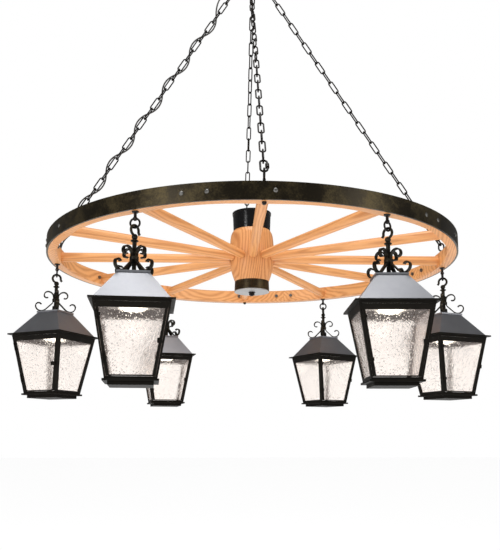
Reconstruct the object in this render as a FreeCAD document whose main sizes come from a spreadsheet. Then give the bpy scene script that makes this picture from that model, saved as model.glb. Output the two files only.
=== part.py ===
import FreeCAD, Part
import math
import os
import Sketcher

# Wagon wheel chandelier: a wooden wheel with an iron tyre hangs level on four chains from a
# ceiling canopy, and six square glass lanterns hang from hooks under its rim.
# Millimetres.  The origin is the middle of the ceiling plate's mounting face and +Z is up,
# so that the whole fitting lies below z = 0.  The wheel's spoke number k points at 30 k degrees
# from +X; -Y is the front.

V = FreeCAD.Vector
ACROSS = V(1, 0, 0)
DEPTH = V(0, 1, 0)
UP = V(0, 0, 1)

doc = FreeCAD.newDocument("WagonWheelChandelier")
sheet = doc.addObject("Spreadsheet::Sheet", "Sizes")

# The main sizes, which set the whole fitting; the rows below are the sizes of its pieces.
WHEEL_R = 762.0
RIM_HIGH = 54.0
LINK_STRAIGHT = 38.1


# ------------------------------------------------------------------ the sheet of sizes
class Measure:
    """A length or angle that knows its value and the formula that gives it from the sheet."""

    def __init__(self, text, value):
        self.text = text
        self.value = float(value)

    def __float__(self):
        return self.value

    def join(self, sign, other, value, swapped=False):
        second = other.text if isinstance(other, Measure) else repr(float(other))
        first = self.text
        if swapped:
            first, second = second, first
        return Measure("(%s %s %s)" % (first, sign, second), value)

    def __add__(self, other):
        return self.join("+", other, self.value + float(other))

    def __radd__(self, other):
        return self.join("+", other, float(other) + self.value, True)

    def __sub__(self, other):
        return self.join("-", other, self.value - float(other))

    def __rsub__(self, other):
        return self.join("-", other, float(other) - self.value, True)

    def __mul__(self, other):
        return self.join("*", other, self.value * float(other))

    def __rmul__(self, other):
        return self.join("*", other, float(other) * self.value, True)

    def __truediv__(self, other):
        return self.join("/", other, self.value / float(other))

    def __neg__(self):
        return Measure("(0 - %s)" % self.text, -self.value)


class Sizes:
    """Reads the sheet's named cells."""

    def __getattr__(self, name):
        return Measure("Sizes." + name, sheet.get(name))


size = Sizes()
rows_used = []


def write_rows(rows):
    """Put rows of name, value and meaning into the sheet."""
    for name, value, meaning in rows:
        rows_used.append(name)
        row = len(rows_used)
        sheet.set("A%d" % row, meaning)
        sheet.set("B%d" % row, repr(value))
        sheet.setAlias("B%d" % row, name)
    doc.recompute()


write_rows([
    # wheel rim
    ("tyre_outer_r", WHEEL_R, "outside radius of the iron tyre"),
    ("tyre_thick", 6.0, "tyre bar thickness"),
    ("rim_high", RIM_HIGH, "height of the tyre and of the felloes"),
    ("felloe_deep", 31.8, "felloe thickness along the radius"),
    ("tyre_fit", 0.2, "gap between tyre and felloes"),
    ("felloe_gap", 0.6, "open joint between two felloes"),
    ("chamfer_deep", 7.0, "depth of the stopped chamfers at mid length"),
    ("chamfer_bow", 520.0, "radius of the cutter that leaves a stopped chamfer"),
    ("first_joint_deg", 15.0, "direction of the first joint between felloes"),
    # spokes
    ("spoke_rim_r", 18.0, "spoke radius at the rim"),
    ("spoke_hub_r", 16.0, "spoke radius at the hub"),
    ("tenon_r", 11.0, "radius of both spoke tenons"),
    ("rim_tenon_long", 12.0, "length of the tenon in the felloe"),
    ("hub_tenon_long", 25.0, "length of the tenon in the hub"),
    ("tenon_fit", 0.2, "gap round a tenon"),
    ("rim_shoulder_gap", 0.5, "gap between spoke shoulder and felloe"),
    ("hub_shoulder_gap", 1.6, "open line between spoke shoulder and hub"),
    # hub, heights from the wheel's mid plane
    ("hub_top_z", 109.0, "top face of the turned hub"),
    ("hub_top_r", 70.5, "hub radius at its top face"),
    ("hub_shoulder_z", 85.0, "height of the hub's upper shoulder"),
    ("hub_shoulder_r", 81.0, "hub radius at the upper shoulder"),
    ("hub_belly_z", -7.0, "height of the hub's widest place"),
    ("hub_belly_r", 85.0, "hub radius at its widest place"),
    ("hub_waist_z", -61.0, "height of the hub's lower waist"),
    ("hub_waist_r", 75.0, "hub radius at the lower waist"),
    ("hub_neck_z", -90.0, "height where the turned nose starts"),
    ("hub_neck_r", 64.5, "hub radius above the band"),
    ("hub_nose_z", -127.0, "underside of the hub's nose"),
    ("hub_nose_r", 60.8, "radius of the nose inside the band"),
    ("hub_top_bow", 48.0, "radius of curve above the upper shoulder"),
    ("hub_belly_bow", 500.0, "radius of curve of the hub's belly"),
    ("hub_waist_bow", 260.0, "radius of curve below the belly"),
    ("hub_neck_bow", 210.0, "radius of curve above the band"),
    ("band_top_r", 65.0, "band radius at its upper edge"),
    ("band_low_r", 66.5, "band radius at its lower edge"),
    ("band_fit", 0.2, "gap between band and nose"),
    ("disc_r", 66.5, "radius of the end disc"),
    ("disc_thick", 3.0, "thickness of the end disc"),
    ("rod_r", 6.0, "radius of the tie rod through the hub"),
    ("rod_fit", 0.3, "gap round the tie rod"),
    ("rod_end", 3.0, "tie rod past its nuts"),
    # can on top of the hub with the driver in it
    ("can_low_r", 70.7, "can radius at its floor"),
    ("can_top_r", 73.5, "can radius at its rim"),
    ("can_high", 70.0, "height of the can"),
    ("can_wall", 1.4, "sheet thickness of the can and its lid"),
    ("lid_lip", 8.0, "depth of the lid's rim"),
    ("lid_fit", 0.3, "gap between lid and can"),
    ("seat_gap", 0.2, "gap between pieces that stand on each other"),
    ("driver_long", 90.0, "length of the driver box"),
    ("driver_wide", 36.0, "width of the driver box"),
    ("driver_high", 28.0, "height of the driver box"),
    ("driver_off", 14.0, "driver box from the tie rod's axis"),
    ("driver_round", 4.0, "corner radius of the driver box"),
    # fasteners
    ("bolt_r", 4.0, "shank radius of the tyre bolts"),
    ("bolt_fit", 0.2, "gap round a shank"),
    ("bolt_head_r", 6.5, "head radius of the tyre bolts"),
    ("bolt_head_high", 3.4, "head height of the tyre bolts"),
    ("bolt_head_edge", 1.2, "height of the edge of a bolt head"),
    ("bolt_head_flat", 3.6, "radius of the flat on top of a bolt head"),
    ("bolt_end", 2.5, "thread past a nut"),
    ("nut_corner_r", 7.5, "corner radius of the small nuts"),
    ("nut_high", 6.0, "height of the small nuts"),
    ("rod_nut_r", 10.5, "corner radius of the tie rod's nuts"),
    ("rod_nut_high", 10.0, "height of the tie rod's nuts"),
    ("washer_r", 13.0, "radius of the tie rod's washers"),
    ("washer_high", 2.0, "thickness of the tie rod's washers"),
    ("joint_bolt_deg", 2.8, "bolts beside a felloe joint, from the joint"),
    ("mid_bolt_deg", 17.3, "third bolt of a felloe, from its first joint"),
    # chains
    ("hang_inset", 20.7, "eyes and lantern posts stand this far inside the tyre's face"),
    ("eye_wire_r", 3.0, "wire radius of the eye bolts"),
    ("eye_bow_r", 10.0, "half width of an eye, to the middle of its wire"),
    ("eye_straight", 10.0, "straight length of an eye's sides"),
    ("eye_neck_long", 10.0, "neck between felloe and eye"),
    ("eye_neck_r", 4.5, "neck radius of the eye bolts"),
    ("eye_foot_r", 10.0, "radius of the eye bolt's foot washer"),
    ("eye_foot_high", 3.0, "height of the eye bolt's foot washer"),
    ("link_wire_r", 2.5, "wire radius of the chain links"),
    ("link_bow_r", 8.5, "half width of a link, to the middle of its wire"),
    ("link_straight", LINK_STRAIGHT, "straight length of a link's sides"),
    ("link_play", 0.6, "gap where two links bear on each other"),
    ("quick_wire_r", 3.0, "wire radius of the quick links"),
    ("quick_bow_r", 10.0, "half width of a quick link, to the middle of its wire"),
    ("quick_straight", 32.5, "straight length of a quick link's sides"),
    ("sleeve_r", 6.0, "radius of the quick link's sleeve nut"),
    ("sleeve_long", 16.0, "length of the quick link's sleeve nut"),
    ("ring_mid_r", 50.0, "master ring radius, to the middle of its wire"),
    ("ring_wire_r", 4.0, "wire radius of the master ring"),
    ("fore_aft_gap", 6.0, "front and back chain on the master ring, from its lowest point"),
    # ceiling
    ("plate_r", 60.0, "radius of the ceiling plate"),
    ("plate_thick", 5.0, "thickness of the ceiling plate"),
    ("plate_pcd", 96.0, "bolt circle of the ceiling plate"),
    ("plate_hole_r", 3.5, "fixing hole radius of the ceiling plate"),
    ("boss_r", 12.0, "radius of the plate's threaded boss"),
    ("boss_high", 18.0, "height of the plate's threaded boss"),
    ("canopy_r", 90.0, "canopy radius"),
    ("canopy_high", 50.0, "canopy height"),
    ("canopy_lip", 8.0, "upright lip of the canopy"),
    ("canopy_flat_r", 34.0, "radius of the canopy's flat bottom"),
    ("canopy_bow", 62.0, "radius of the canopy's curved side"),
    ("canopy_wall", 2.0, "sheet thickness of the canopy"),
    ("loop_wire_r", 4.0, "wire radius of the canopy loop"),
    ("loop_bow_r", 11.0, "half width of the canopy loop, to the middle of its wire"),
    ("loop_straight", 14.0, "straight length of the loop's sides"),
    ("loop_shank_r", 5.0, "shank radius of the canopy loop"),
    ("shank_fit", 0.1, "gap round the loop's shank"),
    ("collar_r", 11.0, "radius of the canopy's collar nut"),
    ("collar_high", 9.0, "height of the canopy's collar nut"),
    # lantern post, ring and hook, levels below the hole in the post's ball
    ("post_ball_r", 7.0, "radius of the ball on a lantern post"),
    ("post_ball_low", 22.0, "hole in the ball below the felloe"),
    ("post_hole_r", 4.0, "radius of the hole in the ball"),
    ("post_flange_r", 10.5, "flange radius of a lantern post"),
    ("post_flange_low_r", 9.0, "flange radius of a lantern post at its underside"),
    ("post_flange_high", 4.0, "flange height of a lantern post"),
    ("post_neck_r", 4.5, "neck radius of a lantern post"),
    ("post_shank_long", 16.0, "shank of a lantern post in the felloe"),
    ("hang_ring_r", 14.0, "hanging ring radius, to the middle of its wire"),
    ("hang_wire_r", 3.0, "wire radius of the hanging rings"),
    ("hang_ring_rise", 0.6, "top of the hanging ring's wire above the middle of the hole"),
    ("hook_wire_r", 4.0, "wire radius of the lantern hooks"),
    ("hook_bow_r", 14.9, "hook radius, to the middle of its wire"),
    ("hook_play", 0.3, "gap where the hook bears on its ring"),
    ("hook_join_deg", 235.0, "where the hook's bow meets its lead from the bulb"),
    ("hook_lead", 12.0, "straight lead from the bulb into the bow"),
    ("hook_turn_deg", 240.0, "turn of the hook's bow"),
    ("hook_lip_r", 9.0, "radius of the hook's outturned lip"),
    ("hook_lip_deg", 45.0, "turn of the hook's lip"),
    ("hook_tip", 4.0, "straight end of the hook"),
    ("bulb_low", 55.0, "middle of the bulb under the hook"),
    ("bulb_r", 9.0, "radius of the bulb under the hook"),
    ("bulb_foot", 7.47, "bulb's lower end from its middle"),
    ("bead_low", 67.0, "middle of the bead collar"),
    ("bead_r", 12.0, "radius of the bead collar"),
    ("bead_high", 7.0, "height of the bead collar"),
    ("stem_r", 6.3, "stem radius"),
    ("tie_r", 13.5, "radius of the collar that ties the scrolls"),
    ("tie_high", 9.0, "height of the collar that ties the scrolls"),
    ("scroll_thick", 4.0, "scroll bar thickness"),
    ("scroll_wide", 11.0, "scroll bar width"),
    ("scroll_in", 9.0, "scroll bar's middle from the stem's axis at the collar"),
    ("bulb_neck_r", 5.0, "radius of the neck under the bulb"),
    ("stem_thread_r", 4.5, "radius of the stem's threaded end"),
    ("stem_thread", 18.0, "threaded end below the top of the cap"),
    ("upper_rise", 12.0, "upright start of a scroll's upper half"),
    ("upper_lead_r", 20.0, "radius of the upper scroll's lead"),
    ("upper_curl_r", 14.0, "radius of the upper scroll's curl"),
    ("upper_eye_r", 9.0, "radius of the upper scroll's inner end"),
    ("lower_lead_r", 20.0, "radius of the bend below the collar"),
    ("lower_lean", 30.0, "straight stretch that leans out to the cap's corner"),
    ("lower_foot_r", 25.0, "radius of the bend that lies on the cap"),
    ("lower_curl_r", 19.0, "radius of the lower scroll's curl"),
    ("lower_eye_r", 11.0, "radius of the lower scroll's inner end"),
    ("upper_curl_deg", 100.0, "turn of the upper scroll's curl"),
    ("upper_eye_deg", 115.0, "turn of the upper scroll's inner end"),
    ("lower_eye_deg", 150.0, "turn of the lower scroll's inner end"),
    # lantern body
    ("cap_low", 164.0, "top of the cap plate"),
    ("cap_half", 47.8, "half width of the cap plate"),
    ("cap_thick", 6.0, "thickness of the cap plate"),
    ("roof_top_half", 45.5, "half width of the roof at the cap"),
    ("roof_low_half", 106.0, "half width of the roof at the eave"),
    ("roof_inset", 1.9, "roof sheet, measured level"),
    ("eave_low", 253.2, "top of the eave plate"),
    ("eave_half", 118.5, "half width of the eave plate"),
    ("eave_thick", 5.0, "thickness of the eave plate"),
    ("eave_hole_half", 78.0, "half width of the opening in the eave plate"),
    ("frame_top_half", 107.3, "half width of the frame at the eave"),
    ("frame_low_half", 71.6, "half width of the frame at its foot"),
    ("frame_high", 213.6, "height of the frame"),
    ("frame_wall", 4.0, "thickness of the frame"),
    ("top_rail", 23.0, "height of the frame's top rail"),
    ("low_rail", 10.6, "height of the frame's bottom rail"),
    ("glass_top_half", 90.0, "half width of a window at its top"),
    ("glass_low_half", 58.1, "half width of a window at its foot"),
    ("foot_half", 77.3, "half width of the foot plate"),
    ("foot_thick", 6.0, "thickness of the foot plate"),
    ("tray_half", 63.0, "half width of the tray under the foot plate"),
    ("tray_high", 11.0, "height of the tray"),
    ("pane_thick", 3.0, "glass thickness"),
    ("pane_gap", 0.3, "gap between a pane and its frame"),
    ("pane_lap", 3.0, "pane edge behind the frame"),
    # door
    ("door_post", 5.0, "corner post left of and right of the door"),
    ("door_rail_gap", 6.0, "frame rail above and below the door"),
    ("door_gap", 0.8, "gap round the door"),
    ("hinge_r", 2.8, "knuckle radius"),
    ("hinge_out", 3.2, "hinge pin outside the frame's face"),
    ("leaf_thick", 2.0, "thickness of a hinge leaf"),
    ("frame_leaf", 4.6, "leaf on the post, from the pin"),
    ("door_leaf", 11.0, "leaf on the door, from the pin"),
    ("hinge_long", 29.0, "length of a hinge"),
    ("hinge_upper_low", 43.0, "middle of the upper hinge below the eave"),
    ("hinge_lower_low", 160.0, "middle of the lower hinge below the eave"),
    ("hinge_gap", 0.4, "gap between knuckles"),
    ("pin_r", 1.2, "hinge pin radius"),
    ("pin_fit", 0.06, "running fit of the hinge pin"),
    ("knob_half", 7.0, "half width of the square door knob"),
    ("knob_in", 6.5, "knob from the door's right edge"),
    ("knob_out", 11.0, "door knob in front of the door"),
    ("knob_low", 110.0, "door knob below the eave"),
    ("knob_stem_r", 3.0, "radius of the knob's stem"),
    ("knob_plate", 5.0, "thickness of the knob's square head"),
    # lamp module
    ("lamp_pan_half", 86.0, "half width of the lamp's carrier plate"),
    ("lamp_pan_thick", 1.5, "thickness of the lamp's carrier plate"),
    ("lamp_r", 48.0, "radius of the lamp module"),
    ("lamp_deep", 9.0, "depth of the lamp module below its carrier"),
    ("lens_r", 44.0, "radius of the lamp's diffuser"),
    ("lens_bow", 90.0, "radius of the diffuser's domed face"),
    ("lens_edge", 2.0, "edge thickness of the diffuser"),
    ("lens_dome", 11.5, "height of the diffuser's dome below its edge"),
    # supply cord
    ("cord_r", 3.0, "radius of the supply cord"),
    ("cord_corner", 35.0, "corners of the woven cord, from the chain's axis"),
    ("cord_bend", 0.45, "share of the shorter run that a bend takes at each corner"),
    ("cord_gap", 0.6, "gap where the cord crosses the swivel"),
    ("gland_r", 7.0, "radius of the cord glands"),
    ("gland_high", 9.0, "height of the cord glands"),
    ("gland_y", 30.0, "canopy gland from the fitting's axis"),
    ("gland_out", 10.0, "straight cord below the canopy gland"),
    ("gland_in", 11.4, "cord above the canopy's underside"),
    ("swivel_y", 22.0, "cord from the fitting's axis where it crosses the swivel"),
    ("swivel_lead", 18.0, "straight cord on both sides of the swivel"),
])

SPOKES = 12
FELLOES = 6
LINKS = 26
UNTWISTED_LINKS = 11
CHAIN_SPOKES = (0, 3, 6, 9)
SIDE_SPOKES = (0, 6)
BACK_SPOKE = 3
LANTERN_SPOKES = (0, 2, 4, 6, 8, 10)
STEP_DEG = 360.0 / SPOKES
SECTOR_DEG = 360.0 / FELLOES

# how each lantern happens to hang: turn of its body, of its hook's point and of its ring
LANTERN_TURNS = {
    0: (20.2, 155.2, 65.2),
    2: (29.6, 74.6, -7.3),
    4: (12.0, 147.0, 57.0),
    6: (-26.2, 18.8, -76.0),
    8: (5.4, 50.4, -7.3),
    10: (-2.2, 132.8, 38.0),
}


# ------------------------------------------------------------------ ways to make pieces
def bind(thing, properties):
    """Tie properties of an object to the sheet."""
    for name, amount in properties.items():
        if isinstance(amount, Measure):
            thing.setExpression(name, amount.text)
        else:
            thing.setExpression(name, repr(float(amount)))


def place(thing, at=(0, 0, 0), axis=UP, degrees=0.0):
    """Turn an object, then move it to a place that follows the sheet."""
    angle = degrees.value if isinstance(degrees, Measure) else degrees
    thing.Placement = FreeCAD.Placement(V(*[float(c) for c in at]), FreeCAD.Rotation(axis, angle))
    for letter, amount in zip("xyz", at):
        if isinstance(amount, Measure):
            thing.setExpression("Placement.Base." + letter, amount.text)
    if isinstance(degrees, Measure):
        thing.setExpression("Placement.Rotation.Angle", degrees.text)
    return thing


def cylinder(name, radius, height, at=(0, 0, 0), axis=UP, degrees=0.0):
    thing = doc.addObject("Part::Cylinder", name)
    bind(thing, {"Radius": radius, "Height": height})
    return place(thing, at, axis, degrees)


def cone(name, low_r, high_r, height, at=(0, 0, 0), axis=UP, degrees=0.0):
    thing = doc.addObject("Part::Cone", name)
    bind(thing, {"Radius1": low_r, "Radius2": high_r, "Height": height})
    return place(thing, at, axis, degrees)


def box(name, long, wide, high, at=(0, 0, 0)):
    thing = doc.addObject("Part::Box", name)
    bind(thing, {"Length": long, "Width": wide, "Height": high})
    return place(thing, at)


def plate(name, half, thick, top):
    """Square plate centred on the axis, whose upper face is at the height top."""
    return box(name, half * 2, half * 2, thick, (-half, -half, top - thick))


def nut(name, corner_r, height, bore_r, at=(0, 0, 0), axis=UP, degrees=0.0):
    """Six-sided nut that stands on its place."""
    blank = doc.addObject("Part::Prism", name + "_blank")
    blank.Polygon = 6
    bind(blank, {"Circumradius": corner_r, "Height": height})
    bore = cylinder(name + "_bore", bore_r, height * 3, (0, 0, -height))
    return place(cut(name, blank, bore), at, axis, degrees)


def pyramid(name, low_half, high_half, low_z, high_z, low_y=None, high_y=None):
    """Square or trapezoid block between two heights; low_y and high_y give its depth instead."""
    thing = doc.addObject("Part::Wedge", name)
    front = (-low_half, -high_half) if low_y is None else (low_y, low_y)
    back = (low_half, high_half) if high_y is None else (high_y, high_y)
    bind(thing, {
        "Xmin": -low_half, "Xmax": low_half, "X2min": -high_half, "X2max": high_half,
        "Ymin": low_z, "Ymax": high_z,
        "Zmin": -back[0], "Zmax": -front[0], "Z2min": -back[1], "Z2max": -front[1],
    })
    thing.Placement = FreeCAD.Placement(V(), FreeCAD.Rotation(ACROSS, 90))
    return thing


def cut(name, base, tool):
    thing = doc.addObject("Part::Cut", name)
    thing.Base = base
    thing.Tool = tool
    return thing


def shared(name, base, tool):
    thing = doc.addObject("Part::Common", name)
    thing.Base = base
    thing.Tool = tool
    return thing


def fuse(name, pieces):
    thing = doc.addObject("Part::MultiFuse", name)
    thing.Shapes = pieces
    thing.Refine = True
    return thing


def group(name, pieces, at=(0, 0, 0), axis=UP, degrees=0.0):
    """Separate solids kept together, placed as one."""
    thing = doc.addObject("Part::Compound", name)
    thing.Links = pieces
    return place(thing, at, axis, degrees)


def made(name, shape):
    """A shape worked out by this file's own code."""
    thing = doc.addObject("Part::Feature", name)
    thing.Shape = shape
    return thing


sub_parts = []


def keep(label, thing):
    """Name a sub-part; its label is also its file's name."""
    thing.Label = label
    sub_parts.append(thing)
    return thing


def origin_plane(body, role):
    for feature in body.Origin.OriginFeatures:
        if feature.Role == role:
            return feature
    raise ValueError(role)


def side_of_outline(start, stop, bow):
    """Straight side, or an arc that bows to the right of its way for bow > 0, else left."""
    if bow is None:
        return Part.LineSegment(start, stop), (1, 2)
    chord = stop - start
    left = V(-chord.y, chord.x, 0).normalize()
    rise = math.sqrt(bow ** 2 - (chord.Length / 2) ** 2)
    centre = (start + stop) / 2 + left * math.copysign(rise, bow)
    first, last = (start, stop) if bow > 0 else (stop, start)
    angles = [math.atan2(p.y - centre.y, p.x - centre.x) for p in (first, last)]
    circle = Part.Circle(centre, UP, abs(bow))
    return Part.ArcOfCircle(circle, angles[0], angles[1]), (1, 2) if bow > 0 else (2, 1)


def outline(body, name, role, corners):
    """Closed sketch on one of the body's origin planes.

    Each corner is (x, y) or (x, y, bow): the side that leaves it is straight, or an arc of that
    radius.  The corners run anticlockwise and every one is tied to the sheet.
    """
    sketch = body.newObject("Sketcher::SketchObject", name)
    sketch.AttachmentSupport = [(origin_plane(body, role), "")]
    sketch.MapMode = "FlatFace"
    points = [V(float(c[0]), float(c[1]), 0) for c in corners]
    ends = []
    for index, corner in enumerate(corners):
        bow = float(corner[2]) if len(corner) > 2 else None
        side, order = side_of_outline(points[index], points[(index + 1) % len(points)], bow)
        sketch.addGeometry(side)
        ends.append(order)
    for index, corner in enumerate(corners):
        after = (index + 1) % len(corners)
        joint = Sketcher.Constraint("Coincident", index, ends[index][1], after, ends[after][0])
        sketch.addConstraint(joint)
        for kind, axis, amount in (("DistanceX", -2, corner[0]), ("DistanceY", -1, corner[1])):
            if float(amount) == 0.0:
                on_axis = Sketcher.Constraint("PointOnObject", index, ends[index][0], axis)
                sketch.addConstraint(on_axis)
                continue
            tied = Sketcher.Constraint(kind, -1, 1, index, ends[index][0], float(amount))
            number = sketch.addConstraint(tied)
            if isinstance(amount, Measure):
                sketch.setExpression("Constraints[%d]" % number, amount.text)
        if len(corner) > 2:
            radius = abs(float(corner[2]))
            number = sketch.addConstraint(Sketcher.Constraint("Radius", index, radius))
            text = corner[2].text
            sketch.setExpression("Constraints[%d]" % number, "abs(%s)" % text)
    return sketch


def turned(name, corners, degrees=360.0):
    """Body turned round its Z axis from an outline of (radius, height) corners."""
    body = doc.addObject("PartDesign::Body", name)
    sketch = outline(body, name + "_outline", "XZ_Plane", corners)
    revolution = body.newObject("PartDesign::Revolution", name + "_turning")
    revolution.Profile = sketch
    revolution.ReferenceAxis = (sketch, ["V_Axis"])
    revolution.Angle = float(degrees)
    if isinstance(degrees, Measure):
        revolution.setExpression("Angle", degrees.text)
    body.Tip = revolution
    return body


def oval(name, wire_r, bow_r, straight):
    """Closed link of round wire: two bows and two straight sides, upright in the XZ plane."""
    bows = []
    for end, tilt in (("top", 0), ("low", 180)):
        bow = doc.addObject("Part::Torus", "%s_%s" % (name, end))
        bind(bow, {"Radius1": bow_r, "Radius2": wire_r})
        bow.Angle3 = 180
        up = FreeCAD.Rotation(ACROSS, 90)
        over = FreeCAD.Rotation(DEPTH, tilt)
        bow.Placement = FreeCAD.Placement(V(), over * up)
        height = straight / 2 if end == "top" else -straight / 2
        bow.setExpression("Placement.Base.z", height.text)
        bows.append(bow)
    sides = [
        cylinder(name + "_right", wire_r, straight, (bow_r, 0, -straight / 2)),
        cylinder(name + "_left", wire_r, straight, (-bow_r, 0, -straight / 2)),
    ]
    return fuse(name, bows + sides)


# ------------------------------------------------------------------ how the fitting hangs
# Distances along a chain start at the middle of the eye's upper bow.
hang_r = size.tyre_outer_r - size.hang_inset
link_half = size.link_straight / 2 + size.link_bow_r
quick_half = size.quick_straight / 2 + size.quick_bow_r
link_pitch = link_half * 2 - size.link_wire_r * 2 - size.link_play
quick_low = size.eye_bow_r - size.eye_wire_r - size.quick_wire_r - size.link_play
quick_mid = quick_low + quick_half
first_link = quick_mid + quick_half - size.quick_wire_r - size.link_wire_r - size.link_play \
    + link_half
ring_bite = size.link_wire_r + size.ring_wire_r + size.link_play

eye_bow_up = size.rim_high / 2 + size.eye_neck_long + size.eye_bow_r - size.eye_wire_r \
    + size.eye_wire_r + size.eye_straight + size.eye_wire_r
side_run = first_link + link_pitch * (LINKS - 1) + link_half
ring_above_wheel = float(eye_bow_up) + math.sqrt(
    float(side_run - ring_bite + size.ring_mid_r) ** 2 - float(hang_r) ** 2)

loop_half = size.loop_straight / 2 + size.loop_bow_r
loop_mid_z = -(size.canopy_high + size.collar_high + size.loop_wire_r + loop_half)
swivel_z = loop_mid_z - loop_half
ring_z = swivel_z + size.loop_wire_r + size.ring_wire_r + size.link_play - size.ring_mid_r

write_rows([
    ("wheel_drop", round(ring_above_wheel - float(ring_z), 4), "wheel's mid plane below z = 0"),
])
wheel_z = -size.wheel_drop
print("ring above wheel %.2f, wheel drop %.2f" % (ring_above_wheel, size.wheel_drop.value))


def spoke_direction(k):
    angle = math.radians(STEP_DEG * k)
    return V(math.cos(angle), math.sin(angle), 0)


# ------------------------------------------------------------------ ceiling plate
plate_top = turned("ceiling_plate_body", [
    (size.loop_shank_r + size.shank_fit, -(size.plate_thick + size.boss_high)),
    (size.boss_r, -(size.plate_thick + size.boss_high)),
    (size.boss_r, -size.plate_thick),
    (size.plate_r, -size.plate_thick),
    (size.plate_r, 0),
    (size.loop_shank_r + size.shank_fit, 0),
])
doc.recompute()
hole_sketch = plate_top.newObject("Sketcher::SketchObject", "fixing_hole")
hole_sketch.AttachmentSupport = [(origin_plane(plate_top, "XY_Plane"), "")]
hole_sketch.MapMode = "FlatFace"
hole_middle = V(float(size.plate_pcd / 2), 0, 0)
hole_sketch.addGeometry(Part.Circle(hole_middle, UP, float(size.plate_hole_r)))
hole_sketch.addConstraint(Sketcher.Constraint("PointOnObject", 0, 3, -1))
hole_sketch.addConstraint(Sketcher.Constraint("DistanceX", -1, 1, 0, 3, hole_middle.x))
hole_sketch.setExpression("Constraints[1]", (size.plate_pcd / 2).text)
hole_sketch.addConstraint(Sketcher.Constraint("Radius", 0, float(size.plate_hole_r)))
hole_sketch.setExpression("Constraints[2]", size.plate_hole_r.text)
fixing = plate_top.newObject("PartDesign::Pocket", "fixing_pocket")
fixing.Profile = hole_sketch
fixing.Type = "ThroughAll"
fixing.Midplane = True
fixings = plate_top.newObject("PartDesign::PolarPattern", "fixing_holes")
fixings.Originals = [fixing]
fixings.Axis = (hole_sketch, ["N_Axis"])
fixings.Angle = 360
fixings.Occurrences = 4
plate_top.Tip = fixings
keep("ceiling_plate", plate_top)

# ------------------------------------------------------------------ canopy
canopy_in_r = size.canopy_r - size.canopy_wall
canopy_in_z = -(size.canopy_high - size.canopy_wall)
canopy_shell = turned("canopy_shell", [
    (size.loop_shank_r + size.shank_fit, -size.canopy_high),
    (size.canopy_flat_r, -size.canopy_high, size.canopy_bow),
    (size.canopy_r, -size.canopy_lip),
    (size.canopy_r, 0),
    (canopy_in_r, 0),
    (canopy_in_r, -size.canopy_lip, -(size.canopy_bow - size.canopy_wall)),
    (size.canopy_flat_r, canopy_in_z),
    (size.loop_shank_r + size.shank_fit, canopy_in_z),
])
cord_hole = cylinder("cord_hole", size.cord_r + size.shank_fit, size.canopy_high,
                     (0, size.gland_y, -size.canopy_high * 1.5))
keep("ceiling_canopy", cut("canopy_drilled", canopy_shell, cord_hole))

# ------------------------------------------------------------------ canopy loop
loop = group("loop_turned", [oval("loop_oval", size.loop_wire_r, size.loop_bow_r,
                                  size.loop_straight)], (0, 0, loop_mid_z), UP, 90)
shank_foot = loop_mid_z + loop_half
shank = cylinder("loop_shank", size.loop_shank_r, -shank_foot - size.plate_thick / 2,
                 (0, 0, shank_foot))
loop_and_shank = fuse("loop_and_shank", [loop, shank])
collar_blank = cylinder("collar_blank", size.collar_r, size.collar_high - size.seat_gap,
                        (0, 0, -size.canopy_high - size.collar_high))
collar_bore = cylinder("collar_bore", size.loop_shank_r + size.shank_fit, size.collar_high * 3,
                       (0, 0, -size.canopy_high - size.collar_high * 2))
collar = cut("collar_nut", collar_blank, collar_bore)
keep("canopy_loop", group("loop_with_collar", [loop_and_shank, collar]))

# ------------------------------------------------------------------ master ring
ring = doc.addObject("Part::Torus", "master_ring_body")
bind(ring, {"Radius1": size.ring_mid_r, "Radius2": size.ring_wire_r})
keep("master_ring", place(ring, (0, 0, ring_z), ACROSS, 90))

# ------------------------------------------------------------------ chains
link = oval("link", size.link_wire_r, size.link_bow_r, size.link_straight)
quick_oval = oval("quick_oval", size.quick_wire_r, size.quick_bow_r, size.quick_straight)
quick_sleeve = cylinder("quick_sleeve", size.sleeve_r, size.sleeve_long,
                        (size.quick_bow_r, 0, -size.sleeve_long / 2))
quick_link = fuse("quick_link", [quick_oval, quick_sleeve])
doc.recompute()


def chain_ends(k):
    """Middle of the eye's upper bow, and the middle of the last link's upper wire."""
    out = spoke_direction(k)
    foot = out * float(hang_r) + UP * float(wheel_z + eye_bow_up)
    if k in SIDE_SPOKES:
        toward = (V(0, 0, float(ring_z)) - foot).normalize()
        return foot, foot + toward * float(side_run)
    beside = float(size.fore_aft_gap) * (1 if k == BACK_SPOKE else -1)
    seat = V(beside, 0, float(ring_z) - math.sqrt(float(size.ring_mid_r) ** 2 - beside ** 2))
    return foot, seat + (seat - foot).normalize() * float(ring_bite)


def chain_frame(k, number):
    """Place of link number (0 is the quick link) of the chain over spoke k."""
    foot, top = chain_ends(k)
    along = top - foot
    run = along.Length
    along.normalize()
    pitch = (run - float(first_link + link_half)) / (LINKS - 1)
    distance = float(quick_mid) if number == 0 else float(first_link) + pitch * (number - 1)
    flat = V(along.x, along.y, 0).normalize()
    sideways = flat.cross(UP).normalize()
    if sideways.x < sideways.y:
        sideways = -sideways
    turn = 0.0 if number % 2 == 0 else 90.0
    if k not in SIDE_SPOKES and number > UNTWISTED_LINKS:
        turn += 90.0 * (number - UNTWISTED_LINKS) / (LINKS - UNTWISTED_LINKS)
    upright = FreeCAD.Rotation(sideways, sideways, along, "ZXY")
    spin = FreeCAD.Rotation(along, turn)
    return FreeCAD.Placement(foot + along * distance, spin * upright)


def placed_shape(thing, placement):
    shape = thing.Shape.copy()
    shape.Placement = placement.multiply(shape.Placement)
    return shape


chain_solids = []
for k in CHAIN_SPOKES:
    chain_solids.append(placed_shape(quick_link, chain_frame(k, 0)))
    for number in range(1, LINKS + 1):
        chain_solids.append(placed_shape(link, chain_frame(k, number)))
keep("chains", made("chain_set", Part.makeCompound(chain_solids)))

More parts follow.
